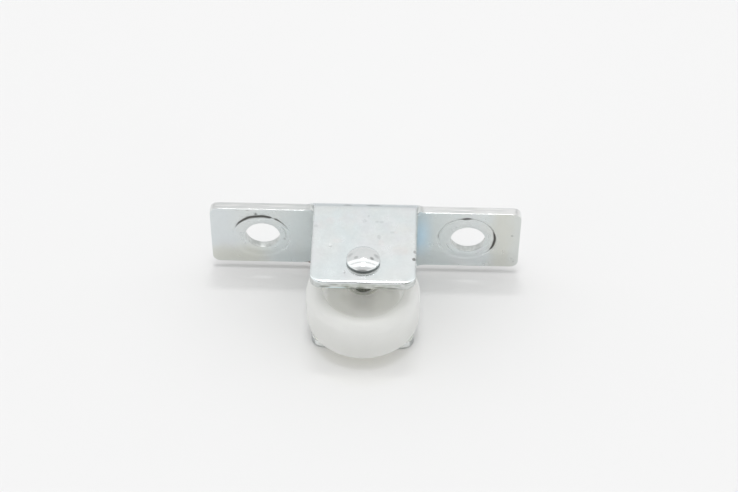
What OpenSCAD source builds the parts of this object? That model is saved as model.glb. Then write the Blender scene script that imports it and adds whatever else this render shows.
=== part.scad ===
// Guide roller for a garage door: a folded sheet bracket with two fixing
// wings, a recessed nylon wheel between its cheeks, and a domed rivet that
// is the wheel's axle.
//
// Frame: X along the wings, +Y towards the surface that the bracket is bolted
// to, +Z up along the axle. The origin is midway between the two fixing holes,
// on the back face of the plate.

/* [Back plate] */
// Length of the plate over both wings
plate_l = 85; // [78:0.5:110]
// Height of the wings
wing_h = 20.9; // [18:0.1:22]
// Thickness of the sheet
sheet_t = 2.5; // [2:0.1:3]
// Corner radius of the wings
wing_corner_r = 2.3; // [1:0.1:4]

/* [Fixing holes] */
// Distance between the centres of the two fixing holes
hole_spacing = 56.5; // [52:0.5:60]
// Diameter of each fixing hole
hole_d = 9.5; // [6:0.1:11]
// Diameter of the coined seat round each fixing hole
seat_d = 16; // [14:0.1:17]
// Depth of the coined seat
seat_depth = 0.25; // [0.1:0.05:0.5]
// Sideways offset of the left seat from its hole
seat_left_x = -0.6; // [-1:0.1:1]
// Upward offset of the left seat from its hole
seat_left_z = 0; // [-1:0.1:1]
// Sideways offset of the right seat from its hole
seat_right_x = -0.4; // [-1:0.1:1]
// Upward offset of the right seat from its hole
seat_right_z = 0.6; // [-1:0.1:1]

/* [Cheeks] */
// Width of each cheek
cheek_w = 27.8; // [24:0.1:30]
// Reach of the cheeks in front of the plate
cheek_reach = 28.4; // [26:0.1:34]
// Clear height between the two cheeks
cheek_gap = 21.8; // [20:0.1:24]
// Inside radius of each fold
fold_r = 1.75; // [1:0.05:2.5]
// Corner radius at the front of each cheek
cheek_corner_r = 3.2; // [1:0.1:6]
// Radius of the flare where a wing's edge runs into a fold
flare_r = 2.6; // [1:0.1:3]

/* [Wheel] */
// Outside diameter of the wheel
wheel_d = 30.6; // [26:0.2:34]
// Width of the rim
rim_w = 13.8; // [10:0.1:15]
// Radius of the rim's outer edges
rim_edge_r = 2.7; // [1:0.1:4]
// Diameter of the recess in each side
recess_d = 22; // [16:0.2:23]
// Depth of the recess in each side
recess_depth = 4.2; // [1:0.1:4.5]
// Diameter of the hub at its ends
hub_d = 9.2; // [8:0.1:11]
// Radius of the fillet at the hub's foot
hub_foot_r = 3.4; // [0.9:0.1:4]
// Height of the hub above the rim on each side
hub_step = 0.95; // [0:0.05:1.5]
// Depth of the chamfer at the bore's mouths
bore_chamfer = 0.7; // [0.1:0.05:0.8]

/* [Axle rivet] */
// Distance of the axle in front of the plate
axle_reach = 21; // [19:0.1:22]
// Diameter of the shank
shank_d = 5; // [4.6:0.1:6]
// Radial running clearance between shank and wheel
running_gap = 0.08; // [0.03:0.01:0.1]
// Diameter of the domed head
head_d = 8.9; // [8:0.1:10]
// Height of the domed head
head_h = 2.65; // [2.3:0.05:3.2]
// Radius of the head's crown
head_crown_r = 7.4; // [6.5:0.1:9]
// Radius between the head's side and its crown
head_edge_r = 0.75; // [0.5:0.05:1]
// Diameter of the spigot that is riveted into the lower cheek
spigot_d = 4; // [3.5:0.1:4.4]

/* [Hidden] */
$fn = 96;

half_l = plate_l / 2;
half_h = wing_h / 2;
half_w = cheek_w / 2;
fold_out_r = fold_r + sheet_t;
cheek_top = cheek_gap / 2 + sheet_t;
cheek_front = -(sheet_t + cheek_reach);
axle_y = -(sheet_t + axle_reach);

shank_r = shank_d / 2;
bore_r = shank_r + running_gap;
spigot_r = spigot_d / 2;
sink_depth = 1.3;

// The wheel rests on the lower cheek, a hair above it.
hub_bottom = -cheek_gap / 2 + 0.05;
hub_len = rim_w + 2 * hub_step;
wheel_mid = hub_bottom + hub_len / 2;

// Centres and tangent point of the head's edge and crown arcs
crown_z = head_h - head_crown_r;
edge_x = head_d / 2 - head_edge_r;
edge_z = crown_z + sqrt(pow(head_crown_r - head_edge_r, 2) - pow(edge_x, 2));
join_x = edge_x * head_crown_r / (head_crown_r - head_edge_r);

// A cylinder along Y from y0 to y1
module along_y(x, z, r, y0, y1) {
    translate([x, y0, z]) rotate([-90, 0, 0]) cylinder(r = r, h = y1 - y0);
}

// What is cut from one corner of a plate lying in XZ: sx and sz give the corner
module wing_corner_cut(sx, sz) {
    r = wing_corner_r;
    difference() {
        translate([sx > 0 ? half_l - r : -half_l - 1, -sheet_t - 1, sz > 0 ? half_h - r : -half_h - 1])
            cube([r + 1, sheet_t + 2, r + 1]);
        along_y(sx * (half_l - r), sz * (half_h - r), r, -sheet_t - 2, 2);
    }
}

// What is cut from one front corner of the cheeks
module cheek_corner_cut(sx) {
    r = cheek_corner_r;
    difference() {
        translate([sx > 0 ? half_w - r : -half_w - 1, cheek_front - 1, -cheek_top - 1])
            cube([r + 1, r + 1, 2 * cheek_top + 2]);
        translate([sx * (half_w - r), cheek_front + r, -cheek_top - 2])
            cylinder(r = r, h = 2 * cheek_top + 4);
    }
}

// Section of plate, folds and cheeks, drawn with its X towards the wall and its Y up
module channel_section() {
    o = fold_out_r;
    i = fold_r;
    difference() {
        union() {
            translate([cheek_front, -cheek_top]) square([-cheek_front - o, 2 * cheek_top]);
            translate([-o - 0.01, -cheek_top + o]) square([o + 0.01, 2 * (cheek_top - o)]);
            translate([-o, cheek_top - o]) circle(r = o);
            translate([-o, -cheek_top + o]) circle(r = o);
        }
        union() {
            translate([cheek_front - 1, -cheek_gap / 2]) square([-cheek_front + 1 - o, cheek_gap]);
            translate([-o - 0.01, -cheek_gap / 2 + i]) square([i + 0.01, cheek_gap - 2 * i]);
            translate([-o, cheek_gap / 2 - i]) circle(r = i);
            translate([-o, -cheek_gap / 2 + i]) circle(r = i);
        }
    }
}

// The folded channel between x0 and x1
module channel(x0, x1) {
    translate([x0, 0, 0]) rotate([90, 0, 90]) linear_extrude(height = x1 - x0) channel_section();
}

// The flare of sheet where a wing's edge runs up into a fold, at one of the four corners
module flare(sx, sz) {
    r = flare_r;
    intersection() {
        channel(sx > 0 ? half_w - 0.5 : -half_w - r, sx > 0 ? half_w + r : -half_w + 0.5);
        difference() {
            translate([sx > 0 ? half_w - 0.5 : -half_w - r, -fold_out_r, sz > 0 ? half_h - 0.5 : -half_h - r])
                cube([r + 0.5, fold_out_r + 1, r + 0.5]);
            along_y(sx * (half_w + r), sz * (half_h + r), r, -fold_out_r - 1, 2);
        }
    }
}

module bracket() {
    color([0.80, 0.83, 0.83]) difference() {
        union() {
            // back plate with its wings
            difference() {
                translate([-half_l, -sheet_t, -half_h]) cube([plate_l, sheet_t, wing_h]);
                for (sx = [-1, 1]) for (sz = [-1, 1]) wing_corner_cut(sx, sz);
            }
            // plate, folds and cheeks
            difference() {
                channel(-half_w, half_w);
                for (sx = [-1, 1]) cheek_corner_cut(sx);
            }
            for (sx = [-1, 1]) for (sz = [-1, 1]) flare(sx, sz);
        }
        // fixing holes and their coined seats
        for (sx = [-1, 1]) along_y(sx * hole_spacing / 2, 0, hole_d / 2, -sheet_t - 1, 1);
        along_y(-hole_spacing / 2 + seat_left_x, seat_left_z, seat_d / 2, -sheet_t - 1, -sheet_t + seat_depth);
        along_y(hole_spacing / 2 + seat_right_x, seat_right_z, seat_d / 2, -sheet_t - 1, -sheet_t + seat_depth);
        // rivet hole in the upper cheek
        translate([0, axle_y, cheek_gap / 2 - 1]) cylinder(r = shank_r + 0.05, h = sheet_t + 2);
        // rivet hole in the lower cheek, countersunk from below
        translate([0, axle_y, -cheek_top - 1]) cylinder(r = spigot_r + 0.03, h = sheet_t + 2);
        translate([0, axle_y, -cheek_top - 1])
            cylinder(r1 = spigot_r + 0.03 + sink_depth + 1, r2 = spigot_r + 0.03, h = sink_depth + 1);
    }
}

// Section of the head: a short side, a rounded edge and a shallow crown
module head_section() {
    square([head_d / 2, edge_z]);
    translate([edge_x, edge_z]) intersection() {
        circle(r = head_edge_r);
        translate([-edge_x, -edge_z]) square([head_d, head_h]);
    }
    intersection() {
        translate([0, crown_z]) circle(r = head_crown_r);
        square([join_x, head_h + 1]);
    }
}

module axle_rivet() {
    color([0.86, 0.87, 0.89]) {
        // head on the upper cheek
        translate([0, axle_y, cheek_top]) rotate_extrude() head_section();
        // shank through the upper cheek and the wheel, down to the lower cheek
        translate([0, axle_y, -cheek_gap / 2]) cylinder(r = shank_r, h = cheek_gap + sheet_t + 0.5);
        // spigot, upset into the countersink and flush with the cheek
        translate([0, axle_y, -cheek_top]) cylinder(r = spigot_r, h = sheet_t + 0.5);
        translate([0, axle_y, -cheek_top])
            cylinder(r1 = spigot_r + sink_depth, r2 = spigot_r, h = sink_depth);
    }
}

// Half section of the wheel about its middle
module wheel_section() {
    hw = rim_w / 2;
    hr = hub_len / 2;
    R = wheel_d / 2;
    e = rim_edge_r;
    difference() {
        union() {
            // rim with rounded outer edges
            translate([0, -hw]) square([R - e, rim_w]);
            translate([R - e - 0.01, -hw + e]) square([e + 0.01, rim_w - 2 * e]);
            translate([R - e, hw - e]) circle(r = e);
            translate([R - e, -hw + e]) circle(r = e);
            // hub
            translate([0, -hr]) square([hub_d / 2, hub_len]);
        }
        // recesses, between hub and rim
        for (s = [-1, 1]) recess_section(s);
        // bore with chamfered mouths
        translate([-1, -hr - 1]) square([1 + bore_r, hub_len + 2]);
        for (s = [-1, 1])
            polygon([[0, s * (hr + 1)], [bore_r + bore_chamfer + 1, s * (hr + 1)],
                     [bore_r, s * (hr - bore_chamfer)], [0, s * (hr - bore_chamfer)]]);
    }
}

// Section of one recess: drafted walls and a floor with rounded corners
module recess_section(s) {
    hw = rim_w / 2;
    f = hw - recess_depth;
    a = hub_d / 2;
    b = recess_d / 2;
    c = 0.9;
    g = max(0.9, min(hub_foot_r, recess_depth, b - a - 1.8));
    difference() {
        polygon([[a, s * (hw + 2)], [a, s * hw], [a + 0.35, s * (f + g)], [a + 0.35, s * f], [b - 0.5, s * f], [b, s * hw],
                 [b, s * (hw + 2)]]);
        // fillets at the floor
        difference() {
            translate([a, s > 0 ? f - 1 : -f - g]) square([0.35 + g, g + 1]);
            translate([a + 0.35 + g, s * (f + g)]) circle(r = g);
        }
        difference() {
            translate([b - 0.5 - c, s > 0 ? f - 1 : -f - c]) square([0.5 + c, c + 1]);
            translate([b - 0.5 - c, s * (f + c)]) circle(r = c);
        }
    }
}

module roller_wheel() {
    color([0.91, 0.92, 0.89])
        translate([0, axle_y, wheel_mid]) rotate_extrude() wheel_section();
}

bracket();
axle_rivet();
roller_wheel();
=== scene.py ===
import math

import bmesh
import bpy
import numpy as np
from mathutils import Matrix, Vector
from mathutils.geometry import delaunay_2d_cdt


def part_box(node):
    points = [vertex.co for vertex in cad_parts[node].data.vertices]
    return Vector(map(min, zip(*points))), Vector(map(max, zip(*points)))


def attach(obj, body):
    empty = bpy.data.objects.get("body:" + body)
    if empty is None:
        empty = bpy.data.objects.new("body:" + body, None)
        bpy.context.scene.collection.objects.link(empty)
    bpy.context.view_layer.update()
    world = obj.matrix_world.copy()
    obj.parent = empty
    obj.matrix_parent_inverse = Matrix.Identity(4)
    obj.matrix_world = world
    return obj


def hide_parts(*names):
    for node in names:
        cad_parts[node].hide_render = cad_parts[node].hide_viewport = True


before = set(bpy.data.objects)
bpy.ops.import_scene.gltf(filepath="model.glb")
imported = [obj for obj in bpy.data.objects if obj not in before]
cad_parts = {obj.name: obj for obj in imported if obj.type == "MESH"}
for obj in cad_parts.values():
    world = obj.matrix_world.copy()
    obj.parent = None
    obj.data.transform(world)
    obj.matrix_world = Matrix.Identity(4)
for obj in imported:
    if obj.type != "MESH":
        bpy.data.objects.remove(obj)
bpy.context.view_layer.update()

MM = 0.001
SCENE = bpy.context.scene
SCENE.view_settings.view_transform = "Standard"
SCENE.view_settings.look = "None"
SCENE.view_settings.exposure = 0.0
SCENE.view_settings.gamma = 1.0

# ---------------------------------------------------------------------------
# Sizes, in millimetres, from the frame's own boxes where they give them
# ---------------------------------------------------------------------------
B0, B1 = [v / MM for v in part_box("bracket")]
R0, R1 = [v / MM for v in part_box("axle_rivet")]
W0, W1 = [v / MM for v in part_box("roller_wheel")]

T = 2.5                      # sheet thickness
HALF_L = B1.x                # half length of the plate
HALF_H = 10.45               # half height of the wings
HALF_W = 13.9                # half width of the cheeks
TOP = B1.z                   # top face of the upper cheek
FRONT = B0.y                 # front edge of the cheeks
RO = 4.25                    # outside radius of the folds
AXLE_Y = 0.5 * (R0.y + R1.y)
HEAD_R = 0.5 * (R1.x - R0.x)
HEAD_H = R1.z - TOP
WHEEL_R = W1.x
HUB_Z0, HUB_Z1 = W0.z, W1.z
HUB_STEP = 0.95
RIM_Z0, RIM_Z1 = HUB_Z0 + HUB_STEP, HUB_Z1 - HUB_STEP
HOLE_X = 28.25
HOLE_R = 4.75
SHANK_R = 2.5
FLOOR_Z = B0.z

SB = TOP - RO                # where the fold starts, up the plate
RN = 2.85                    # neutral radius of the fold
SE = SB + RN * math.pi / 2   # where the fold ends, along the sheet
S_MAX = SE + (-RO - FRONT)   # the cheek's end, along the sheet


# ---------------------------------------------------------------------------
# Camera
# ---------------------------------------------------------------------------
def make_camera():
    el, yaw, roll = (math.radians(a) for a in (47.131074, -1.184366, -0.368937))
    f = Vector((math.sin(yaw) * math.cos(el), math.cos(yaw) * math.cos(el), -math.sin(el)))
    r = Vector((math.cos(yaw), -math.sin(yaw), 0.0))
    d = f.cross(r)
    r2 = math.cos(roll) * r + math.sin(roll) * d
    d2 = -math.sin(roll) * r + math.cos(roll) * d
    aim = Vector((1.3338, -16.3125, 11.6700)) * MM
    pos = aim - f * 494.925 * MM
    cam_data = bpy.data.cameras.new("camera")
    cam_data.sensor_fit = "HORIZONTAL"
    cam_data.sensor_width = 36.0
    cam_data.lens = 90.83
    cam_data.clip_start = 0.01
    cam_data.clip_end = 20.0
    cam = bpy.data.objects.new("camera", cam_data)
    m = Matrix((
        (r2.x, -d2.x, -f.x, pos.x),
        (r2.y, -d2.y, -f.y, pos.y),
        (r2.z, -d2.z, -f.z, pos.z),
        (0, 0, 0, 1),
    ))
    cam.matrix_world = m
    SCENE.collection.objects.link(cam)
    SCENE.camera = cam


make_camera()

# ---------------------------------------------------------------------------
# Light: a white room with a broad band of soft light overhead from side to side,
# and two narrow strips, one straight above and one a little behind
# ---------------------------------------------------------------------------
LIGHTS = {
    "back_low": 0.82,     # radiance of each part of the room
    "back_high": 0.84,
    "band_top": 1.24,
    "band_side": 1.28,
    "side_low": 1.40,
    "front_low": 1.10,
    "front_high": 0.72,
    "strip_a": 0.78,      # the strips, as shares of what a level floor gets from each at 1
    "strip_b": 0.76,
    "strip_a_wide": 0.0,
    "strip_b_wide": 0.0,
}


def make_world():
    world = bpy.data.worlds.new("studio")
    SCENE.world = world
    world.use_nodes = True
    nt = world.node_tree
    nt.nodes.clear()
    out = nt.nodes.new("ShaderNodeOutputWorld")
    bg = nt.nodes.new("ShaderNodeBackground")
    tc = nt.nodes.new("ShaderNodeTexCoord")
    sep = nt.nodes.new("ShaderNodeSeparateXYZ")
    nt.links.new(tc.outputs["Generated"], sep.inputs[0])

    def op(kind, *args):
        n = nt.nodes.new("ShaderNodeMath")
        n.operation = kind
        for i, v in enumerate(args):
            if isinstance(v, (int, float)):
                n.inputs[i].default_value = v
            else:
                nt.links.new(v, n.inputs[i])
        return n.outputs[0]

    def smooth(v, lo, hi):
        n = nt.nodes.new("ShaderNodeMapRange")
        n.interpolation_type = "SMOOTHSTEP"
        nt.links.new(v, n.inputs["Value"])
        n.inputs["From Min"].default_value = lo
        n.inputs["From Max"].default_value = hi
        n.inputs["To Min"].default_value = 0.0
        n.inputs["To Max"].default_value = 1.0
        return n.outputs["Result"]

    def spot(azimuth, elevation, radius, soft):
        """1 inside a round patch of the room, azimuth from the front, turning right."""
        a, e = math.radians(azimuth), math.radians(elevation)
        n = nt.nodes.new("ShaderNodeVectorMath")
        n.operation = "DOT_PRODUCT"
        nt.links.new(tc.outputs["Generated"], n.inputs[0])
        n.inputs[1].default_value = (math.sin(a) * math.cos(e), -math.cos(a) * math.cos(e), math.sin(e))
        return smooth(n.outputs["Value"], math.cos(math.radians(radius + soft)), math.cos(math.radians(radius)))

    x, y, z = sep.outputs
    inv = lambda v: op("SUBTRACT", 1.0, v)
    back = smooth(y, 0.33, 0.40)
    front = smooth(op("MULTIPLY", y, -1.0), 0.17, 0.27)
    mid = op("SUBTRACT", inv(back), front)
    lift = smooth(z, 0.14, 0.26)
    top = smooth(z, 0.62, 0.78)
    gap = op("DIVIDE", op("SUBTRACT", y, GAP[0]), GAP[1])
    gap = op("MULTIPLY", op("POWER", 2.718, op("MULTIPLY", op("MULTIPLY", gap, gap), -1.0)), GAP[2])
    band = op("MULTIPLY", op("MULTIPLY", mid, lift), inv(gap))
    zb = smooth(z, 0.15, 0.70)
    zf = smooth(z, 0.10, 0.85)
    terms = [
        ("back_low", op("MULTIPLY", back, inv(zb))),
        ("back_high", op("MULTIPLY", back, zb)),
        ("front_low", op("MULTIPLY", front, inv(zf))),
        ("front_high", op("MULTIPLY", front, zf)),
        ("side_low", op("MULTIPLY", mid, inv(lift))),
        ("band_side", op("MULTIPLY", band, inv(top))),
        ("band_top", op("MULTIPLY", band, top)),
    ]
    total = None
    for k, v in terms:
        t = op("MULTIPLY", v, float(LIGHTS[k]))
        total = t if total is None else op("ADD", total, t)
    for az, el, r, soft, keep in DARK:
        total = op("MULTIPLY", total, op("SUBTRACT", 1.0, op("MULTIPLY", spot(az, el, r, soft), 1.0 - keep)))
    bg.inputs["Color"].default_value = (1.0, 1.0, 1.0, 1.0)
    nt.links.new(total, bg.inputs["Strength"])
    nt.links.new(bg.outputs[0], out.inputs[0])


GAP = (0.10, 0.050, 0.34)    # a thin duller line along the band: place, half width, depth
DARK = [                     # darker things in the room: azimuth, elevation, radius, softness, share left
    (-6.0, 9.0, 22.0, 14.0, 0.35),
    (-4.0, 44.0, 8.0, 18.0, 0.72),
    (-141.0, 49.0, 4.5, 4.0, 0.70),
    (135.0, 48.0, 4.5, 4.0, 0.50),
    (-142.0, 17.0, 5.0, 6.0, 0.80),
    (141.0, 21.0, 5.0, 6.0, 0.75),
]


def add_strip(name, tilt, width, half_x, share, far=1.5):
    """A long area light across the object, tilt degrees behind the zenith."""
    if share <= 0.0:
        return
    t = math.radians(tilt)
    data = bpy.data.lights.new(name, "AREA")
    data.shape = "RECTANGLE"
    data.size = 2 * far * math.tan(math.radians(half_x))
    data.size_y = 2 * far * math.tan(math.radians(width / 2))
    # radiance that gives a level white floor about this share of its brightness
    solid = data.size * data.size_y / far ** 2 * (math.cos(math.radians(half_x)) if half_x > 20 else 1.0)
    radiance = share * math.pi / (0.9 * solid * math.cos(t))
    data.energy = radiance * math.pi * data.size * data.size_y
    ob = bpy.data.objects.new(name, data)
    ob.location = (0.0, -0.012 + far * math.sin(t), far * math.cos(t))
    ob.rotation_euler = (-t, 0.0, 0.0)
    ob.visible_camera = False
    SCENE.collection.objects.link(ob)


def make_lights():
    add_strip("strip_a", 18.8, 3.6, 6.0, 0.138 * LIGHTS["strip_a"])
    add_strip("strip_b", -4.5, 11.0, 6.0, 0.20 * LIGHTS["strip_b"])
    add_strip("strip_a_wide", 18.8, 3.6, 45.0, 0.138 * LIGHTS["strip_a_wide"])
    add_strip("strip_b_wide", -4.5, 11.0, 45.0, 0.20 * LIGHTS["strip_b_wide"])


make_world()
make_lights()


# ---------------------------------------------------------------------------
# Node helpers
# ---------------------------------------------------------------------------
class Mat:
    """A material with short calls for the nodes it is built from."""

    def __init__(self, name):
        self.mat = bpy.data.materials.new(name)
        self.mat.use_nodes = True
        self.nt = self.mat.node_tree
        self.nt.nodes.clear()
        self.out = self.nt.nodes.new("ShaderNodeOutputMaterial")
        self.bsdf = self.nt.nodes.new("ShaderNodeBsdfPrincipled")
        self.nt.links.new(self.bsdf.outputs[0], self.out.inputs[0])
        tc = self.nt.nodes.new("ShaderNodeTexCoord")
        self.co = tc.outputs["Object"]
        self.mm = self.scale(self.co, (1000.0, 1000.0, 1000.0))

    def link(self, value, socket):
        if isinstance(value, (int, float)):
            socket.default_value = value
        elif isinstance(value, (tuple, list)):
            socket.default_value = tuple(value) + ((1.0,) if len(value) == 3 and len(socket.default_value) == 4 else ())
        else:
            self.nt.links.new(value, socket)

    def set(self, **kw):
        for k, v in kw.items():
            self.link(v, self.bsdf.inputs[k.replace("_", " ")])

    def math(self, op, a, b=0.0, c=None, clamp=False):
        n = self.nt.nodes.new("ShaderNodeMath")
        n.operation = op
        n.use_clamp = clamp
        self.link(a, n.inputs[0])
        self.link(b, n.inputs[1])
        if c is not None:
            self.link(c, n.inputs[2])
        return n.outputs[0]

    def vmath(self, op, a, b=(0, 0, 0)):
        n = self.nt.nodes.new("ShaderNodeVectorMath")
        n.operation = op
        self.link(a, n.inputs[0])
        self.link(b, n.inputs[1])
        return n.outputs["Value"] if op in ("LENGTH", "DOT_PRODUCT", "DISTANCE") else n.outputs[0]

    def scale(self, v, s):
        n = self.nt.nodes.new("ShaderNodeMapping")
        self.link(v, n.inputs["Vector"])
        n.inputs["Scale"].default_value = s
        return n.outputs[0]

    def noise(self, vec, scale, detail=3.0, rough=0.55, lac=2.0, dist=0.0):
        n = self.nt.nodes.new("ShaderNodeTexNoise")
        self.link(vec, n.inputs["Vector"])
        n.inputs["Scale"].default_value = scale
        n.inputs["Detail"].default_value = detail
        n.inputs["Roughness"].default_value = rough
        n.inputs["Lacunarity"].default_value = lac
        n.inputs["Distortion"].default_value = dist
        return n.outputs["Fac"]

    def smooth(self, v, lo, hi, a=0.0, b=1.0, kind="SMOOTHSTEP"):
        n = self.nt.nodes.new("ShaderNodeMapRange")
        n.interpolation_type = kind
        self.link(v, n.inputs["Value"])
        n.inputs["From Min"].default_value = lo
        n.inputs["From Max"].default_value = hi
        n.inputs["To Min"].default_value = a
        n.inputs["To Max"].default_value = b
        return n.outputs["Result"]

    def mix(self, fac, a, b, mode="MIX"):
        n = self.nt.nodes.new("ShaderNodeMix")
        n.data_type = "RGBA"
        n.blend_type = mode
        self.link(fac, n.inputs[0])
        self.link(a, n.inputs[6])
        self.link(b, n.inputs[7])
        return n.outputs[2]

    def attr(self, name):
        n = self.nt.nodes.new("ShaderNodeAttribute")
        n.attribute_name = name
        return n.outputs["Fac"]

    def split(self, v):
        n = self.nt.nodes.new("ShaderNodeSeparateXYZ")
        self.link(v, n.inputs[0])
        return n.outputs[0], n.outputs[1], n.outputs[2]

    def blots(self, P, points, irregular):
        """Mask of ragged spots: (place in mm, stretch, radius, softness)."""
        total = None
        for place, stretch, r, soft in points:
            d = self.vmath("LENGTH", self.vmath("MULTIPLY", self.vmath("SUBTRACT", P, place), stretch))
            d = self.math("ADD", d, self.math("MULTIPLY", irregular, min(1.0, r + soft)))
            k = self.smooth(d, r + soft, r)
            total = k if total is None else self.math("MAXIMUM", total, k)
        return total

    def bump(self, height, strength, distance, normal=None):
        n = self.nt.nodes.new("ShaderNodeBump")
        n.inputs["Strength"].default_value = strength
        n.inputs["Distance"].default_value = distance
        self.link(height, n.inputs["Height"])
        if normal is not None:
            self.link(normal, n.inputs["Normal"])
        return n.outputs["Normal"]


def new_object(name, verts_mm, faces, mat, body, replaces=(), smooth=True):
    me = bpy.data.meshes.new(name)
    me.from_pydata([tuple(v * MM for v in p) for p in verts_mm], [], faces)
    bm = bmesh.new()
    bm.from_mesh(me)
    bmesh.ops.recalc_face_normals(bm, faces=bm.faces)
    bm.to_mesh(me)
    bm.free()
    for p in me.polygons:
        p.use_smooth = smooth
    me.materials.append(mat)
    ob = bpy.data.objects.new(name, me)
    SCENE.collection.objects.link(ob)
    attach(ob, body)
    if replaces:
        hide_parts(*replaces)
    return ob


# ---------------------------------------------------------------------------
# Folded sheet
# ---------------------------------------------------------------------------
def sstep(x, lo, hi):
    t = np.clip((x - lo) / (hi - lo), 0.0, 1.0)
    return t * t * (3 - 2 * t)


def fold(u, s, w):
    """Sheet coordinates to space: u along the wings, s up the blank, w below the outer face."""
    a = np.abs(s)
    sg = np.where(s >= 0, 1.0, -1.0)
    phi = np.clip((a - SB) / RN, 0, math.pi / 2)
    over = np.maximum(a - SE, 0)
    y = -RO + (RO - w) * np.cos(phi) - over
    z = np.minimum(a, SB) + (RO - w) * np.sin(phi)
    b = 1.0 - sstep(np.abs(u), HALF_W + 0.1, HALF_W + 1.4)
    y = b * y + (1 - b) * (-w)
    z = b * z + (1 - b) * a
    return np.stack([u, y, sg * z], -1)


def fillet_path(corners, arc_step=0.22, line_step=0.5):
    """A closed polygon with a radius at each corner, as evenly stepped points."""
    n = len(corners)
    pts = []
    arcs = []
    for i in range(n):
        p = np.array(corners[i][:2], float)
        r = corners[i][2]
        a = np.array(corners[i - 1][:2], float) - p
        b = np.array(corners[(i + 1) % n][:2], float) - p
        a /= np.linalg.norm(a)
        b /= np.linalg.norm(b)
        c = p + (a + b) * r  # corners are square
        arcs.append((p + a * r, c, p + b * r, r))
    for i in range(n):
        s, c, e, r = arcs[i]
        t0 = math.atan2(*(s - c)[::-1])
        t1 = math.atan2(*(e - c)[::-1])
        dt = (t1 - t0 + math.pi) % (2 * math.pi) - math.pi
        k = max(6, int(abs(dt) * r / arc_step))
        for j in range(k + 1):
            t = t0 + dt * j / k
            pts.append(c + r * np.array([math.cos(t), math.sin(t)]))
        nxt = arcs[(i + 1) % n][0]
        d = np.linalg.norm(nxt - e)
        m = max(1, int(d / line_step))
        for j in range(1, m):
            pts.append(e + (nxt - e) * j / m)
    return np.array(pts)


def loop_normals(P):
    """Outward normals of a counter-clockwise loop."""
    d = np.roll(P, -1, 0) - np.roll(P, 1, 0)
    d /= np.linalg.norm(d, axis=1, keepdims=True)
    return np.stack([d[:, 1], -d[:, 0]], 1)


def inside(poly, q):
    x, y = q[:, 0:1], q[:, 1:2]
    x0, y0 = poly[:, 0][None], poly[:, 1][None]
    x1, y1 = np.roll(poly[:, 0], -1)[None], np.roll(poly[:, 1], -1)[None]
    c = ((y0 > y) != (y1 > y)) & (x < (x1 - x0) * (y - y0) / (y1 - y0 + 1e-12) + x0)
    return (c.sum(1) % 2) == 1


def wave(seed, x, freqs):
    """A smooth repeatable wobble, about -1 to 1."""
    rs = np.random.RandomState(seed)
    out = np.zeros_like(x)
    tot = 0.0
    for f in freqs:
        a = 1.0 / (1 + 0.3 * len(freqs))
        out += a * np.sin(x * f + rs.uniform(0, 2 * math.pi))
        tot += a
    return out / tot


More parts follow.
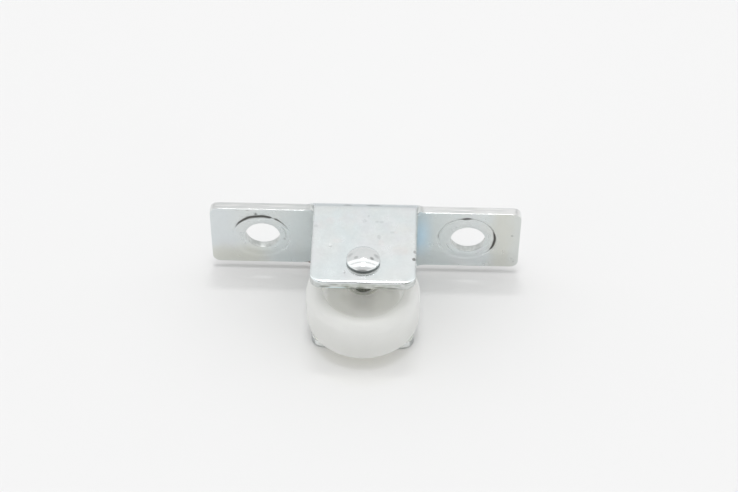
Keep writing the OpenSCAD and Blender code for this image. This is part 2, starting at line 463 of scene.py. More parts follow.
class Sheet:
    def __init__(self):
        self.usw = []
        self.attr = {"cut": [], "painted_shade_and_dirt": []}
        self.faces = []

    def add(self, pts, w, cut=0.0, painted_shade_and_dirt=0.0):
        i0 = len(self.usw)
        n = len(pts)
        w = np.broadcast_to(w, (n,))
        cut = np.broadcast_to(cut, (n,))
        painted_shade_and_dirt = np.broadcast_to(painted_shade_and_dirt, (n,))
        for p, ww, c, d in zip(pts, w, cut, painted_shade_and_dirt):
            self.usw.append((p[0], p[1], ww))
            self.attr["cut"].append(float(c))
            self.attr["painted_shade_and_dirt"].append(float(d))
        return np.arange(i0, i0 + n)

    def wall(self, P, N, profile, rough=0.0, seed=0, other=None, share=0.0):
        """Rings of a cut edge, from the outer face to the inner face. Returns first and last ring.
        other is a second profile, taken by each point's share."""
        arc = np.concatenate([[0], np.cumsum(np.linalg.norm(np.diff(P, axis=0), axis=1))])
        rings = []
        for k, (e, w, cut) in enumerate(profile):
            if other is not None:
                e, w, cut = (a + (b - a) * share for a, b in zip((e, w, cut), other[k]))
            wob = 0.0
            if rough and np.max(cut) > 0.3:
                wob = rough * 0.5 * (1.0 + wave(seed + k, arc, (2.1, 3.7, 5.3, 7.9)))
            q = P - N * ((e + wob) * np.ones(len(P)))[:, None]
            # painted shade on the cheeks' inner-edge bevel, damping its glint
            lip = 0.95 * (1 - share) if other is not None and 0 < k - len(profile) + 4 < 2 else 0.0
            rings.append((self.add(q, w, cut, lip), P - N * (e * np.ones(len(P)))[:, None]))
        n = len(P)
        for (a, _), (b, _) in zip(rings[:-1], rings[1:]):
            for i in range(n):
                j = (i + 1) % n
                self.faces.append((int(a[i]), int(a[j]), int(b[j]), int(b[i])))
        return rings[0], rings[-1]

    def cap(self, outer, holes, inner_loops, w_of, pitch=0.7):
        """Fills one face between its rings. inner_loops are extra closed loops, for relief."""
        pts, ids, edges = [], [], []

        def add_loop(ring, xy):
            k0 = len(pts)
            m = len(xy)
            for q in xy:
                pts.append((float(q[0]), float(q[1])))
            ids.extend([int(v) for v in ring] if ring is not None else [None] * m)
            for i in range(m):
                edges.append((k0 + i, k0 + (i + 1) % m))

        add_loop(*outer)
        for h in holes:
            add_loop(*h)
        for lp in inner_loops:
            add_loop(None, lp)
        bound = np.array(pts)
        # interior points: even rows, closer together round the folds
        rows = []
        s = -S_MAX
        while s < S_MAX:
            rows.append(s)
            inside_fold = SB - 0.4 < abs(s) < SE + 0.4
            s += 0.3 if inside_fold else pitch
        grid = []
        for i, s in enumerate(rows):
            lim = HALF_L if abs(s) < HALF_H else HALF_W
            u = np.arange(-lim, lim, pitch) + (0.5 * pitch if i % 2 else 0.0)
            grid.append(np.stack([u, np.full(u.size, s)], 1))
        grid = np.concatenate(grid)
        keep = inside(outer[1], grid)
        for _, xy in holes:
            keep &= ~inside(xy, grid)
        grid = grid[keep]
        near = np.full(len(grid), 1e9)
        for k in range(0, len(bound), 200):
            d = np.linalg.norm(grid[:, None, :] - bound[None, k:k + 200, :], axis=2).min(1)
            near = np.minimum(near, d)
        grid = grid[near > 0.33]
        for q in grid:
            pts.append((float(q[0]), float(q[1])))
            ids.append(None)
        vo, _, fo, orig, _, _ = delaunay_2d_cdt([Vector(p) for p in pts], edges, [], 0, 1e-5)
        vo = np.array([(v.x, v.y) for v in vo])
        fo = np.array([list(f) for f in fo])
        cen = vo[fo].mean(1)
        keep = inside(outer[1], cen)
        for _, xy in holes:
            keep &= ~inside(xy, cen)
        fo = fo[keep]
        index = {}
        for k in sorted(set(fo.ravel().tolist())):
            src = [ids[o] for o in orig[k] if ids[o] is not None]
            if src:
                index[k] = src[0]
            else:
                w, g = w_of(vo[k:k + 1])
                index[k] = int(self.add(vo[k:k + 1], w, 0.0, g)[0])
        for f in fo:
            self.faces.append(tuple(index[int(k)] for k in f))


# edge of a sheared sheet: rolled over on the outer side, torn on the inner side
EDGE = [
    (0.95, 0.0, 0.0), (0.60, 0.0, 0.0), (0.40, 0.022, 0.0), (0.24, 0.075, 0.1), (0.12, 0.17, 0.2), (0.03, 0.34, 0.4),
    (0.0, 0.55, 0.7), (0.0, 0.95, 1.0), (0.02, 1.35, 1.0), (0.04, 1.75, 1.0), (0.04, 2.1, 1.0),
    (0.02, 2.38, 0.8), (0.03, 2.475, 0.5), (0.09, 2.5, 0.0), (0.55, 2.5, 0.0),
]
# the wings' long edges are only lightly rolled over
WING_EDGE = [
    (0.95, 0.0, 0.0), (0.60, 0.0, 0.0), (0.22, 0.004, 0.0), (0.11, 0.02, 0.1), (0.045, 0.055, 0.3), (0.012, 0.12, 0.6),
    (0.0, 0.24, 0.9), (0.0, 0.8, 1.0), (0.0, 1.35, 1.0), (0.01, 1.75, 1.0), (0.02, 2.1, 1.0),
    (0.02, 2.40, 0.8), (0.03, 2.485, 0.5), (0.09, 2.5, 0.0), (0.55, 2.5, 0.0),
]
# punched holes: the punch went in from the front
HOLE_EDGE = [
    (0.85, 0.0, 0.0), (0.45, 0.0, 0.0), (0.22, 0.04, 0.2), (0.10, 0.14, 0.5), (0.05, 0.35, 1.0),
    (0.02, 0.8, 1.0), (0.0, 1.3, 1.0), (0.0, 1.80, 0.9), (0.0, 2.12, 0.8), (0.012, 2.29, 0.5),
    (0.05, 2.5, 0.1), (0.16, 2.5, 0.0), (0.42, 2.5, 0.0),
]

# the pressed ring round each hole: strength by angle, stronger is wider, deeper and darker
SEATS = [
    dict(hole=-HOLE_X, c=(-28.6, -0.14), r=7.86, table=(
        (-180, 0.0), (-60, 0.0), (-42, 0.0), (-36, 0.22), (-24, 0.22), (-16, 0.05), (15, 0.05), (24, 0.25), (38, 0.40),
        (50, 0.5), (58, 0.65), (63, 0.35), (67, 0.35), (71, 1.0), (84, 1.25), (100, 1.2), (112, 1.25), (124, 1.0),
        (134, 0.75), (150, 0.4), (160, 0.15), (170, 0.03), (180, 0.0))),
    dict(hole=HOLE_X, c=(27.85, 0.55), r=7.86, table=(
        (-180, 0.25), (-160, 0.18), (-148, 0.12), (-138, 0.0), (-56, 0.0), (-46, 0.2), (-34, 0.35), (-26, 0.7),
        (-18, 1.0), (4, 1.0), (14, 0.6), (22, 0.38), (40, 0.30), (60, 0.25), (78, 0.30), (84, 0.6), (88, 1.15), (96, 1.15),
        (101, 0.5), (110, 0.32), (150, 0.25), (165, 0.32), (178, 0.35), (180, 0.3))),
]
# finer marks: centre, radius, from angle, to angle, strength, half width
ARCS = [
    (-28.25, 0.0, 6.42, -14, 36, 0.42, 0.16),
    (-28.25, 0.0, 5.95, 168, 214, 0.22, 0.14),
    (-28.25, 0.0, 5.75, -60, 60, 0.12, 0.12),
    (28.25, 0.0, 5.85, 78, 140, 0.30, 0.15),
    (28.25, 0.0, 6.15, 196, 232, 0.32, 0.15),
    (28.25, 0.0, 5.8, -70, 40, 0.14, 0.12),
]


def seat_marks(q):
    """Depth of the front face's relief at each sheet point, and how dark its grooves are painted: painted shade with
    some dirt.
    """
    depth = np.zeros(len(q))
    dark = np.zeros(len(q))
    for st in SEATS:
        v = q - np.array(st["c"])
        rr = np.hypot(v[:, 0], v[:, 1])
        th = np.degrees(np.arctan2(v[:, 1], v[:, 0]))
        tab = np.array(st["table"])
        w = np.interp(th, tab[:, 0], tab[:, 1])
        wob = 0.06 * np.sin(np.radians(th) * 5 + st["hole"]) + 0.04 * np.sin(np.radians(th) * 13 + 1.0)
        hw = 0.14 + 0.26 * w + 0.12 * max(0.0, -st["hole"] / HOLE_X) * w
        g = np.exp(-((rr - st["r"] - wob * w + 0.12 * w) / hw) ** 2)
        depth += (0.05 + 0.20 * w) * g + 0.09 * (1.0 - sstep(rr, st["r"] - 0.3, st["r"] + 0.05))
        dark = np.maximum(dark, np.clip(1.5 * w, 0, 1) * g)
        h = q - np.array([st["hole"], 0.0])
        rh = np.hypot(h[:, 0], h[:, 1])
        depth += 0.16 * np.clip((5.85 - rh) / (5.85 - HOLE_R), 0, 1) ** 2
    for cx, cy, r, a0, a1, k, hw in ARCS:
        v = q - np.array([cx, cy])
        rr = np.hypot(v[:, 0], v[:, 1])
        th = np.degrees(np.arctan2(v[:, 1], v[:, 0]))
        mid, half = 0.5 * (a0 + a1), 0.5 * (a1 - a0)
        off = np.abs((th - mid + 180) % 360 - 180)
        m = k * (1 - sstep(off, half - 12, half + 4)) * np.exp(-((rr - r) / hw) ** 2)
        depth += 0.12 * m
        dark = np.maximum(dark, m)
    # a chip above the left ring, and a nick across the right wing's upper corner
    for cx, cy, turn, ra, rb, d, k in ((-29.95, 8.4, 0, 0.62, 0.42, 0.10, 1.0), (-29.85, 8.95, 0, 0.30, 0.35, 0.06, 0.6),
                                       (41.42, 9.62, -62, 1.05, 0.26, 0.16, 1.0)):
        t = math.radians(turn)
        dx, dy = q[:, 0] - cx, q[:, 1] - cy
        a, b = dx * math.cos(t) + dy * math.sin(t), dy * math.cos(t) - dx * math.sin(t)
        m = np.exp(-((a / ra) ** 2 + (b / rb) ** 2))
        depth += d * m
        dark = np.maximum(dark, k * m)
    return depth, dark


# small pits in the outer face: place across, place along the sheet, radius, depth
S_OF_Y = lambda y: SE + (-RO - y)
PITS = [
    (13.25, S_OF_Y(-22.41), 0.42, 0.16),
    (-4.8, S_OF_Y(-27.4), 0.30, 0.03),
    (-8.9, S_OF_Y(-18.2), 0.35, 0.04),
]


def pit_depth(q):
    depth = np.zeros(len(q))
    dark = np.zeros(len(q))
    for cx, cy, r, d in PITS:
        m = np.exp(-((q[:, 0] - cx) ** 2 + (q[:, 1] - cy) ** 2) / r ** 2)
        depth += d * m
        # the pits are painted darker: painted shade with some dirt
        dark = np.maximum(dark, min(1.0, 6 * d) * m)
    return depth, dark


def build_bracket(mat):
    sh = Sheet()
    c = []
    rw, rc, rf = 2.3, 3.2, 2.6
    c += [(HALF_L, -HALF_H, rw), (HALF_L, HALF_H, rw), (HALF_W, HALF_H, rf), (HALF_W, S_MAX, rc),
          (-HALF_W, S_MAX, rc), (-HALF_W, HALF_H, rf), (-HALF_L, HALF_H, rw), (-HALF_L, -HALF_H, rw),
          (-HALF_W, -HALF_H, rf), (-HALF_W, -S_MAX, rc), (HALF_W, -S_MAX, rc), (HALF_W, -HALF_H, rf)]
    P = fillet_path(c)
    N = loop_normals(P)
    o0, o1 = sh.wall(P, N, EDGE, rough=0.035, seed=3, other=WING_EDGE, share=sstep(np.abs(P[:, 0]), HALF_W + 0.5, HALF_W + 3.0))
    # fixing holes
    tops, bots = [], []
    for k, st in enumerate(SEATS):
        th = np.linspace(0, 2 * math.pi, 144, endpoint=False)
        ring = np.stack([st["hole"] + HOLE_R * np.cos(th), HOLE_R * np.sin(th)], 1)
        n = -np.stack([np.cos(th), np.sin(th)], 1)
        i0 = len(sh.usw)
        a, b = sh.wall(ring, n, HOLE_EDGE, rough=0.02, seed=20 + k)
        # lower the last rings onto the pressed face
        for i in range(i0, len(sh.usw)):
            u, s, w = sh.usw[i]
            if w > T - 0.05:
                sh.usw[i] = (u, s, T - float(seat_marks(np.array([[u, s]]))[0][0]))
        tops.append(a)
        bots.append(b)
    # rivet hole in the lower cheek, with its countersink on the outer face
    s_axle = -(SE + (-RO - AXLE_Y))
    th = np.linspace(0, 2 * math.pi, 96, endpoint=False)
    ring = np.stack([2.1 * np.cos(th), s_axle + 2.1 * np.sin(th)], 1)
    n = -np.stack([np.cos(th), np.sin(th)], 1)
    a, b = sh.wall(ring, n, [(1.7, 0.0, 0.0), (1.42, 0.0, 0.0), (1.30, 0.03, 0.3), (1.2, 0.10, 0.6),
                             (0.0, 1.35, 0.6), (0.0, 2.45, 0.6), (0.06, 2.5, 0.2), (0.3, 2.5, 0.0)])
    tops.append(a)
    bots.append(b)
    loops = []
    for cx, cy, r, d in PITS[1:]:      # the first lies on the edge's own rings
        for k in (0.5, 1.0, 1.6):
            t = np.linspace(0, 2 * math.pi, 16, endpoint=False)
            lp = np.stack([cx + k * r * np.cos(t), cy + k * r * np.sin(t)], 1)
            if np.abs(lp[:, 0]).max() < HALF_W - 0.05:
                loops.append(lp)
    sh.cap(o0, tops, loops, pit_depth)
    loops = []
    for st in SEATS:
        for dr, m in ((-0.85, 150), (-0.6, 180), (-0.42, 190), (-0.26, 200), (-0.12, 200), (0.02, 200), (0.16, 200), (0.32, 200), (0.5, 180)):
            t = np.linspace(0, 2 * math.pi, m, endpoint=False)
            loops.append(np.stack([st["c"][0] + (st["r"] + dr) * np.cos(t), st["c"][1] + (st["r"] + dr) * np.sin(t)], 1))
        for r, m in ((6.42, 120), (6.1, 120), (5.85, 120), (5.6, 110)):
            t = np.linspace(0, 2 * math.pi, m, endpoint=False)
            loops.append(np.stack([st["hole"] + r * np.cos(t), r * np.sin(t)], 1))

    def front(q):
        d, g = seat_marks(q)
        return T - d, g

    sh.cap(o1, bots, loops, front)
    usw = np.array(sh.usw)
    xyz = fold(usw[:, 0], usw[:, 1], usw[:, 2])
    ob = new_object("bracket_sheet", xyz, sh.faces, mat, "frame", ("bracket",))
    me = ob.data
    for name, vals in sh.attr.items():
        at = me.attributes.new(name, "FLOAT", "POINT")
        at.data.foreach_set("value", np.array(vals, np.float32))
    return ob


# ---------------------------------------------------------------------------
# Turned pieces
# ---------------------------------------------------------------------------
def lathe(profile, seg, cx, cy, wob=None):
    """Turns (r, z) points about a vertical axis. A point with r = 0 closes the end."""
    verts, rings = [], []
    th = np.linspace(0, 2 * math.pi, seg, endpoint=False)
    for r, z in profile:
        if r < 1e-6:
            rings.append([len(verts)])
            verts.append((cx, cy, z))
        else:
            rings.append(list(range(len(verts), len(verts) + seg)))
            for t in th:
                x, y, zz = r * math.cos(t), r * math.sin(t), z
                if wob is not None:
                    x, y, zz = wob(x, y, zz)
                verts.append((cx + x, cy + y, zz))
    faces = []
    for a, b in zip(rings[:-1], rings[1:]):
        if len(a) == 1 and len(b) == 1:
            continue
        for i in range(seg):
            j = (i + 1) % seg
            if len(a) == 1:
                faces.append((a[0], b[j], b[i]))
            elif len(b) == 1:
                faces.append((a[i], a[j], b[0]))
            else:
                faces.append((a[i], a[j], b[j], b[i]))
    return verts, faces


def arc(cx, cz, r, a0, a1, n):
    return [(cx + r * math.cos(math.radians(a0 + (a1 - a0) * i / n)), cz + r * math.sin(math.radians(a0 + (a1 - a0) * i / n))) for i in range(n + 1)]


def build_rivet(mat):
    # tail (flush, slightly hollow from the punch), shank, then the head
    zt = -TOP
    p = [(0.0, zt + 0.06), (1.2, zt + 0.05), (2.3, zt + 0.02), (2.9, zt + 0.0), (3.15, zt + 0.02), (3.27, zt + 0.08),
         (3.27, zt + 0.12), (2.0, zt + 1.38), (2.0, zt + 2.5), (SHANK_R, zt + 2.5)]
    z = zt + 3.5
    while z < TOP - 0.2:
        p.append((SHANK_R, z))
        z += 2.0
    p.append((SHANK_R, TOP - 0.1))
    p.append((SHANK_R, TOP + 0.02))
    R, H, Rc, re = HEAD_R, HEAD_H, 7.4, 0.75
    zc = TOP + H - Rc
    ex = R - re
    ez = zc + math.sqrt((Rc - re) ** 2 - ex ** 2)
    a0 = math.degrees(math.atan2(ez - zc, ex))
    p += [(R - 0.26, TOP + 0.0), (R - 0.14, TOP + 0.04), (R - 0.04, TOP + 0.12), (R, TOP + 0.24)]
    p += arc(ex, ez, re, 0, a0, 10)[0:]
    p += arc(0, zc, Rc, a0, 90, 26)[1:-1]
    p.append((0.0, TOP + H))
    verts, faces = lathe(p, 128, 0.0, AXLE_Y)
    return new_object("rivet_body", verts, faces, mat, "frame", ("axle_rivet",))


def build_wheel(mat):
    R, e = WHEEL_R, 2.7
    hub_r, rec_r, bore_r = 4.6, 10.9, 2.58
    depth, foot = 4.2, 3.4

    def half(zr, zh, s):
        """One side, from the bore's mouth out to the tread. s is +1 for the top."""
        q = [(bore_r, zh - s * 0.70)]
        q += [(bore_r + 0.35, zh - s * 0.34), (bore_r + 0.66, zh - s * 0.06), (bore_r + 0.74, zh)]
        q += [(hub_r - 0.25, zh)] + [(hub_r - 0.25 + 0.25 * math.sin(math.radians(a)), zh - s * (0.25 - 0.25 * math.cos(math.radians(a)))) for a in (30, 60, 90)]
        f = zr - s * depth
        q += [(hub_r + 0.02, zr)]
        q += [(hub_r + 0.35 + foot - foot * math.cos(math.radians(a)), f + s * (foot - foot * math.sin(math.radians(a)))) for a in range(0, 91, 9)]
        q += [(9.0, f)]
        q += [(rec_r - 0.5 - 0.9 + 0.9 * math.sin(math.radians(a)), f + s * (0.9 - 0.9 * math.cos(math.radians(a)))) for a in (0, 22, 45, 68, 90)]
        q += [(rec_r - 0.20, zr - s * 1.4), (rec_r - 0.07, zr - s * 0.30)]
        q += [(rec_r - 0.03, zr - s * 0.12), (rec_r + 0.04, zr - s * 0.03), (rec_r + 0.14, zr), (rec_r + 0.6, zr)]
        q += [(R - e, zr)]
        q += [(R - e + e * math.sin(math.radians(a)), zr - s * (e - e * math.cos(math.radians(a)))) for a in range(8, 91, 8)] + [(R, zr - s * e)]
        return q

    top = half(RIM_Z1, HUB_Z1, 1)
    bot = half(RIM_Z0, HUB_Z0, -1)
    mid = [(R, RIM_Z1 - e - (RIM_Z1 - RIM_Z0 - 2 * e) * k / 6) for k in range(1, 6)]
    prof = top + mid + bot[::-1]
    # the tread is slightly crowned
    zm, zh = 0.5 * (RIM_Z0 + RIM_Z1), 0.5 * (RIM_Z1 - RIM_Z0)
    prof = [(r - (0.25 * abs((z - zm) / zh) ** 2.5 if r > rec_r + 0.8 else 0.0), z) for r, z in prof]
    prof += [(bore_r, HUB_Z0 + 0.70 + (HUB_Z1 - HUB_Z0 - 1.40) * k / 8) for k in range(1, 8)]
    seg = 160
    verts, faces = lathe(prof, seg, 0.0, AXLE_Y)
    n = len(prof)
    for i in range(seg):
        j = (i + 1) % seg
        a, b = (n - 1) * seg, 0
        faces.append((a + i, a + j, b + j, b + i))
    return new_object("nylon_wheel", verts, faces, mat, "wheel", ("roller_wheel",))


# ---------------------------------------------------------------------------
# Materials
# ---------------------------------------------------------------------------
def zinc_material():
    m = Mat("zinc_plate")
    P = m.mm
    x, y, z = m.split(P)
    # slow changes of tint, as the passivation leaves
    n1 = m.smooth(m.noise(P, 0.075, 2.0, 0.5), 0.36, 0.64)
    n2 = m.smooth(m.noise(m.vmath("ADD", P, (31.0, 7.0, 3.0)), 0.11, 3.0, 0.55), 0.45, 0.66)
    n3 = m.smooth(m.noise(m.vmath("ADD", P, (-17.0, 5.0, 60.0)), 0.09, 3.0, 0.55), 0.50, 0.70)
    col = m.mix(n1, (0.788, 0.848, 0.856), (0.823, 0.855, 0.850))
    col = m.mix(m.math("MULTIPLY", n2, 0.55), col, (0.815, 0.828, 0.850))
    col = m.mix(m.math("MULTIPLY", n3, 0.45), col, (0.830, 0.835, 0.800))
    # painted darker reflection over the outside of the folds, standing in for the darker horizon they reflect
    fold_painted_reflection = m.math("MULTIPLY", m.smooth(y, -4.1, -2.7), m.smooth(m.math("ABSOLUTE", z), 11.6, 12.4))
    col = m.mix(m.math("MULTIPLY", fold_painted_reflection, 0.9), col, (0.640, 0.690, 0.712))
    # the wings' front face has its own zones
    face = m.math("MULTIPLY", m.smooth(y, -2.85, -2.6), m.smooth(y, -1.2, -1.8))
    ax = m.math("ABSOLUTE", x)
    face = m.math("MULTIPLY", face, m.smooth(ax, 13.9, 14.6))
    wob = m.math("MULTIPLY_ADD", m.noise(P, 0.22, 2.0, 0.5), 4.0, -2.0)
    xw = m.math("ADD", x, wob)
    zw = m.math("ADD", z, wob)
    def zone(mask, colour, k):
        nonlocal col
        col = m.mix(m.math("MULTIPLY", m.math("MULTIPLY", face, mask), k), col, colour)
    zone(m.smooth(xw, 32.0, 37.0), (0.770, 0.780, 0.725), 0.9)
    zone(m.smooth(xw, 38.5, 42.0), (0.770, 0.800, 0.785), 0.85)
    zone(m.math("MULTIPLY", m.smooth(zw, -2.5, -7.0), m.smooth(xw, -24.0, -31.0)), (0.790, 0.800, 0.735), 0.8)
    zone(m.math("MULTIPLY", m.smooth(xw, -33.0, -39.0), m.smooth(zw, -5.0, 0.0)), (0.800, 0.845, 0.860), 0.9)
    zone(m.math("MULTIPLY", m.smooth(x, -24.0, -15.0), m.smooth(x, 0.0, -5.0)), (0.745, 0.805, 0.815), 0.9)
    zone(m.math("MULTIPLY", m.smooth(x, 27.0, 18.0), m.smooth(x, 13.0, 14.5)), (0.775, 0.840, 0.845), 0.8)
    col = m.mix(face, col, m.mix(1.0, col, (0.925, 0.925, 0.925), "MULTIPLY"))
    blue = m.math("MULTIPLY", m.smooth(x, 19.5, 14.8), m.smooth(x, 13.0, 14.5))
    blue = m.math("MULTIPLY", blue, m.math("MULTIPLY", m.smooth(zw, -9.5, 1.0), m.smooth(z, 12.0, 1.5, 0.25, 1.0)))
    zone(blue, (0.620, 0.810, 0.945), 1.0)
    # fine mottling of the plating
    fine = m.noise(P, 1.1, 4.0, 0.62)
    col = m.mix(m.smooth(fine, 0.3, 0.7), m.mix(1.0, col, (0.965, 0.965, 0.965), "MULTIPLY"), col)
    # sheared edges: a smooth upper part and a torn lower part with dark streaks
    cut = m.attr("cut")
    wing = m.math("MULTIPLY", m.smooth(ax, 14.2, 16.5), m.math("MAXIMUM", m.smooth(m.math("ABSOLUTE", z), 8.0, 9.0), m.smooth(ax, 38.0, 39.0)))
    streak = m.noise(m.scale(P, (0.55, 0.55, 2.2)), 1.0, 4.0, 0.6)
    band = m.noise(m.scale(P, (0.10, 2.6, 2.6)), 1.0, 4.0, 0.65)
    torn = m.smooth(m.math("MULTIPLY_ADD", m.noise(P, 0.5, 3.0, 0.6), 1.0, m.math("MULTIPLY", cut, 0.35)), 0.74, 0.95)
    edge = m.mix(m.smooth(streak, 0.35, 0.65), (0.56, 0.58, 0.565), (0.72, 0.74, 0.73))
    edge = m.mix(m.math("MULTIPLY", torn, 0.30), edge, (0.30, 0.33, 0.30))
    edge = m.mix(wing, edge, m.mix(m.smooth(band, 0.34, 0.66), m.mix(m.smooth(x, -5.0, 5.0), (0.68, 0.70, 0.695), (0.76, 0.77, 0.765)), m.mix(m.smooth(x, -5.0, 5.0), (0.86, 0.86, 0.85), (0.96, 0.96, 0.95))))
    # painted light: the lower cheek's cut edges are coloured lighter, offsetting the shaded floor they reflect
    edge = m.mix(m.smooth(z, -10.5, -10.9), edge, (0.93, 0.95, 0.95))
    # painted shade: the lowest part of the lower cheek's cut edges, next to the floor, is coloured dark
    edge = m.mix(m.smooth(m.math("MULTIPLY_ADD", torn, 0.3, z), -12.35, -12.95), edge, (0.42, 0.45, 0.43))
    # painted shade on the lower cheek's side edges near the front, beside the wheel
    side = m.math("MULTIPLY", m.smooth(m.math("ABSOLUTE", x), 12.5, 13.1), m.math("MULTIPLY", m.smooth(z, -10.4, -10.8), m.smooth(y, -24.0, -27.0)))
    edge = m.mix(m.math("MULTIPLY", side, 0.75), edge, (0.30, 0.32, 0.32))
    col = m.mix(m.math("MULTIPLY", m.smooth(cut, 0.25, 0.9), 0.9), col, edge)
    # marks: place, stretch, radius, softness
    irr = m.math("MULTIPLY_ADD", m.noise(P, 2.3, 3.0, 0.6), 0.7, -0.35)
    def marks(points, k):
        return m.math("MULTIPLY", m.blots(P, points, irr), k)
    col = m.mix(marks([
        ((0.06, -8.8, 13.4), (1, 1, 1), 0.35, 0.5), ((3.3, -9.0, 13.4), (1, 1.4, 1), 0.3, 0.4),
        ((4.6, -9.1, 13.4), (1, 1.2, 1), 0.4, 0.4), ((7.5, -12.8, 13.4), (1, 1.5, 1), 0.4, 0.4),
        ((3.95, -14.6, 13.4), (1.3, 0.8, 1), 0.4, 0.5), ((1.0, -7.0, 13.4), (1.5, 1, 1), 0.2, 0.5),
        ((-13.0, -11.0, 13.4), (1, 1, 1), 0.3, 0.5)], 0.16), col, (0.30, 0.34, 0.33))
    col = m.mix(marks([
        ((8.4, -12.8, 13.4), (1, 1.4, 1), 0.4, 0.4), ((4.5, -16.7, 13.4), (1, 0.8, 1), 0.6, 0.5),
        ((-7.0, -16.2, 13.4), (0.6, 1, 1), 0.5, 0.6), ((-9.2, -8.8, 13.4), (0.7, 0.7, 1), 0.5, 0.8),
        ((9.5, -19.5, 13.4), (0.5, 0.8, 1), 0.7, 0.9)], 0.16), col, (0.84, 0.74, 0.72))
    col = m.mix(marks([
        ((13.55, -19.7, 13.4), (1, 0.8, 1), 0.25, 0.35),
        ((-22.3, -2.5, -1.1), (1, 1, 1), 0.15, 0.3), ((40.27, -2.5, 2.06), (1, 1, 1), 0.2, 0.25),
        ((41.2, -2.5, -8.2), (1, 1, 1), 0.1, 0.25)], 0.45),
        col, (0.20, 0.20, 0.19))
    col = m.mix(marks([
        ((-8.9, -18.2, 13.4), (0.9, 1.5, 1), 0.2, 0.4), ((-4.8, -27.4, 13.4), (1.4, 0.6, 1), 0.15, 0.35), ((-4.75, -2.7, 13.1), (0.34, 1, 0.7), 0.22, 0.35),
        ((2.2, -2.6, 13.05), (0.22, 1, 0.7), 0.28, 0.35)], 0.38),
        col, (0.20, 0.20, 0.19))
    col = m.mix(marks([
        ((13.3, -22.4, 13.4), (1, 1, 1), 0.38, 0.3),
        ((-34.9, -2.4, 9.9), (0.6, 1, 1), 0.06, 0.2), ((-32.1, -2.4, 9.9), (0.6, 1, 1), 0.08, 0.2)], 0.7),
        col, (0.10, 0.10, 0.09))
    # dark streaks and one bluish patch on the upper cheek's front edge
    col = m.mix(marks([
        ((-4.2, -30.85, 11.5), (0.7, 0.5, 1.6), 0.25, 0.4), ((-2.7, -30.85, 11.2), (0.6, 0.5, 1.8), 0.25, 0.35),
        ((-0.5, -30.85, 11.25), (0.42, 0.5, 1.8), 0.35, 0.35), ((4.6, -30.85, 11.4), (0.35, 0.5, 1.8), 0.35, 0.35),
        ((7.4, -30.85, 11.3), (0.30, 0.5, 1.8), 0.35, 0.35), ((-10.0, -30.85, 11.5), (0.4, 0.5, 1.6), 0.35, 0.35),
        ((-7.4, -30.85, 12.2), (0.4, 0.5, 2.2), 0.25, 0.35), ((11.4, -30.55, 13.1), (0.3, 0.5, 2.4), 0.25, 0.3),
        ((0.4, -30.85, 13.0), (0.2, 0.5, 3.0), 0.25, 0.3)], 0.62), col, (0.16, 0.17, 0.14))
    col = m.mix(marks([((-6.8, -30.85, 11.05), (0.20, 0.5, 1.6), 0.4, 0.25)], 0.8), col, (0.74, 0.88, 0.92))
    # painted shade on the cheek just in front of the rivet's head, where the plating is also made less metallic
    dy = m.math("ADD", y, -AXLE_Y)
    foot = m.smooth(m.math("SQRT", m.math("ADD", m.math("MULTIPLY", x, x), m.math("MULTIPLY", dy, dy))), 5.05, 4.70)
    foot = m.math("MULTIPLY", m.math("MULTIPLY", foot, m.smooth(z, 13.2, 13.3)), m.smooth(y, -25.0, -27.0))
    col = m.mix(m.math("MULTIPLY", foot, 0.8), col, (0.660, 0.690, 0.680))
    # painted shade, with some dirt, in the grooves of the pressed rings, in the pits and on the cheeks' inner-edge
    # bevel
    painted_shade_and_dirt = m.attr("painted_shade_and_dirt")
    col = m.mix(m.math("MULTIPLY", m.smooth(painted_shade_and_dirt, 0.15, 0.85), 0.93), col, (0.060, 0.056, 0.050))
    # rust at the lower inner corner of the left wing
    rust = m.blots(P, [((-15.1, -2.5, -10.85), (0.7, 0.5, 1.0), 0.62, 0.35), ((-16.5, -2.5, -10.5), (0.7, 0.7, 1.8), 0.3, 0.3)], irr)
    rn = m.smooth(m.noise(P, 3.0, 3.0, 0.6), 0.35, 0.65)
    col = m.mix(m.math("MULTIPLY", rust, 0.92), col, m.mix(rn, (0.10, 0.022, 0.010), (0.28, 0.075, 0.035)))
    m.set(Base_Color=col)
    dull = m.math("MAXIMUM", m.math("MAXIMUM", rust, m.math("MULTIPLY", foot, 0.75)), m.math("MULTIPLY", painted_shade_and_dirt, 0.7), clamp=True)
    m.set(Metallic=m.math("SUBTRACT", 1.0, dull, clamp=True))
    rough = m.math("MULTIPLY_ADD", m.smooth(m.noise(P, 0.35, 4.0, 0.6), 0.3, 0.7), 0.05, 0.225)
    rough = m.math("ADD", rough, m.math("MULTIPLY", m.smooth(cut, 0.2, 0.9), m.smooth(wing, 0.0, 1.0, 0.10, -0.06)))
    rough = m.math("ADD", rough, m.math("MULTIPLY", m.math("MAXIMUM", rust, painted_shade_and_dirt), 0.35), clamp=True)
    m.set(Roughness=rough)
    # plating grain, a faint waviness of the sheet, and tearing on the cut edges
    b1 = m.bump(m.noise(P, 0.42, 2.0, 0.5), 1.0, 0.000010)
    b2 = m.bump(m.noise(P, 5.0, 4.0, 0.65), 0.6, 0.0000022, b1)
    h = m.mix(wing, m.noise(m.scale(P, (2.2, 2.2, 0.8)), 1.3, 4.0, 0.65), m.math("MULTIPLY", band, 0.35))
    h = m.math("MULTIPLY", h, m.smooth(cut, 0.4, 1.0))
    m.set(Normal=m.bump(h, 0.8, 0.00010, b2))
    return m.mat


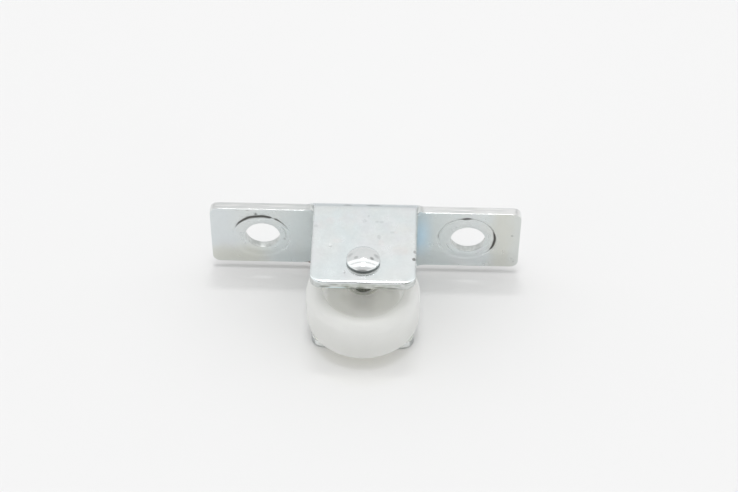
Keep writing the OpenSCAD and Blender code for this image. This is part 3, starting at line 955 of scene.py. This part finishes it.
def rivet_material():
    m = Mat("rivet_steel")
    P = m.mm
    cloud = m.smooth(m.noise(P, 0.8, 3.0, 0.55), 0.35, 0.65)
    col = m.mix(cloud, (0.800, 0.830, 0.828), (0.835, 0.852, 0.852))
    irr = m.math("MULTIPLY_ADD", m.noise(P, 2.6, 3.0, 0.6), 0.5, -0.25)
    dirt = m.blots(P, [((3.93, -26.3, 14.4), (1, 1, 0.8), 0.32, 0.25)], irr)
    col = m.mix(m.math("MULTIPLY", dirt, 0.9), col, (0.03, 0.03, 0.03))
    # painted shade and dirt where the head meets the cheek, reaching higher on the front side
    x, y, z = m.split(P)
    low = m.math("ADD", m.math("MULTIPLY_ADD", irr, 0.3, z), m.math("MULTIPLY", m.math("ADD", y, -AXLE_Y), 0.14))
    low = m.smooth(low, 14.06, 13.66)
    col = m.mix(m.math("MULTIPLY", low, 0.84), col, (0.05, 0.06, 0.06))
    m.set(Base_Color=col, Metallic=m.math("SUBTRACT", 1.0, m.math("MULTIPLY", dirt, 0.7)))
    m.set(Roughness=m.math("MULTIPLY_ADD", cloud, 0.035, 0.075))
    b = m.bump(m.noise(P, 0.9, 2.0, 0.5), 0.6, 0.000006)
    m.set(Normal=m.bump(m.noise(P, 6.0, 3.0, 0.6), 0.4, 0.0000010, b))
    return m.mat


def nylon_material():
    m = Mat("natural_nylon")
    P = m.mm
    x, y, z = m.split(P)
    cloud = m.smooth(m.noise(P, 0.16, 3.0, 0.5), 0.35, 0.65)
    col = m.mix(cloud, (0.930, 0.940, 0.900), (0.940, 0.950, 0.920))
    # painted light: the recess is coloured much lighter than the tread (0.98 against about 0.69), lit and shaded copies
    # of one nylon
    tread = m.smooth(m.math("SQRT", m.math("ADD", m.math("MULTIPLY", x, x), m.math("POWER", m.math("ADD", y, -AXLE_Y), 2.0))), 10.85, 11.1)
    col = m.mix(tread, (0.980, 0.988, 0.958), m.mix(cloud, (0.680, 0.688, 0.670), (0.692, 0.700, 0.682)))
    # painted shade on the hub's top and in the bore's mouth, under the upper cheek, with a little dirt
    dx = m.math("ADD", y, -AXLE_Y)
    rad = m.math("SQRT", m.math("ADD", m.math("MULTIPLY", x, x), m.math("MULTIPLY", dx, dx)))
    irr = m.math("MULTIPLY_ADD", m.noise(P, 1.6, 3.0, 0.6), 0.6, -0.3)
    rw = m.math("ADD", rad, m.math("MULTIPLY", irr, 0.5))
    top = m.smooth(m.math("ABSOLUTE", m.math("SUBTRACT", z, 0.5 * (HUB_Z0 + HUB_Z1))), 0.5 * (HUB_Z1 - HUB_Z0) - 0.9, 0.5 * (HUB_Z1 - HUB_Z0) - 0.4)
    hub = m.math("MULTIPLY", m.math("MULTIPLY", m.smooth(rw, 4.75, 4.10), m.smooth(rad, 3.20, 3.35)), top)
    # a ring at the chamfer's edge is left lighter: a painted highlight
    lip = m.math("MULTIPLY", m.smooth(rad, 3.30, 3.40), m.smooth(rad, 3.75, 3.6))
    hub_shade_and_grime = m.math("MULTIPLY", hub, m.math("SUBTRACT", 0.62, m.math("MULTIPLY", lip, 0.62)))
    col = m.mix(hub_shade_and_grime, col, (0.190, 0.180, 0.115))
    # painted shade in the bore's mouth
    mouth = m.math("MULTIPLY", m.smooth(rad, 3.38, 3.22), top)
    col = m.mix(m.math("MULTIPLY", mouth, 0.30), col, (0.300, 0.260, 0.150))
    m.set(Base_Color=col)
    m.set(Roughness=m.math("MULTIPLY_ADD", cloud, 0.06, 0.47), IOR=1.42)
    m.set(Subsurface_Weight=1.0, Subsurface_Radius=(0.032, 0.032, 0.032), Subsurface_Scale=1.0)
    b = m.bump(m.noise(P, 0.5, 2.0, 0.5), 0.5, 0.000012)
    m.set(Normal=m.bump(m.noise(P, 7.0, 3.0, 0.6), 0.4, 0.000002, b))
    # light that crosses the thin walls reaches the recess and the floor
    clear = m.nt.nodes.new("ShaderNodeBsdfTransparent")
    clear.inputs["Color"].default_value = (1.0, 0.99, 0.93, 1.0)
    part = m.nt.nodes.new("ShaderNodeMixShader")
    m.link(m.smooth(z, -7.0, -2.0, 0.46, 0.86), part.inputs[0])
    m.nt.links.new(m.bsdf.outputs[0], part.inputs[1])
    m.nt.links.new(clear.outputs[0], part.inputs[2])
    path = m.nt.nodes.new("ShaderNodeLightPath")
    top = m.nt.nodes.new("ShaderNodeMixShader")
    m.nt.links.new(path.outputs["Is Camera Ray"], top.inputs[0])
    m.nt.links.new(part.outputs[0], top.inputs[1])
    m.nt.links.new(m.bsdf.outputs[0], top.inputs[2])
    m.nt.links.new(top.outputs[0], m.out.inputs[0])
    return m.mat


def floor_material():
    m = Mat("paper")
    m.set(Base_Color=(0.78, 0.78, 0.78), Roughness=0.9)
    m.bsdf.inputs["Specular IOR Level"].default_value = 0.0
    return m.mat


def build_floor():
    me = bpy.data.meshes.new("floor")
    s = 3.0
    z = FLOOR_Z * MM
    me.from_pydata([(-s, -s, z), (s, -s, z), (s, s, z), (-s, s, z)], [], [(0, 1, 2, 3)])
    me.materials.append(floor_material())
    ob = bpy.data.objects.new("floor", me)
    SCENE.collection.objects.link(ob)


build_floor()
build_bracket(zinc_material())
build_rivet(rivet_material())
build_wheel(nylon_material())
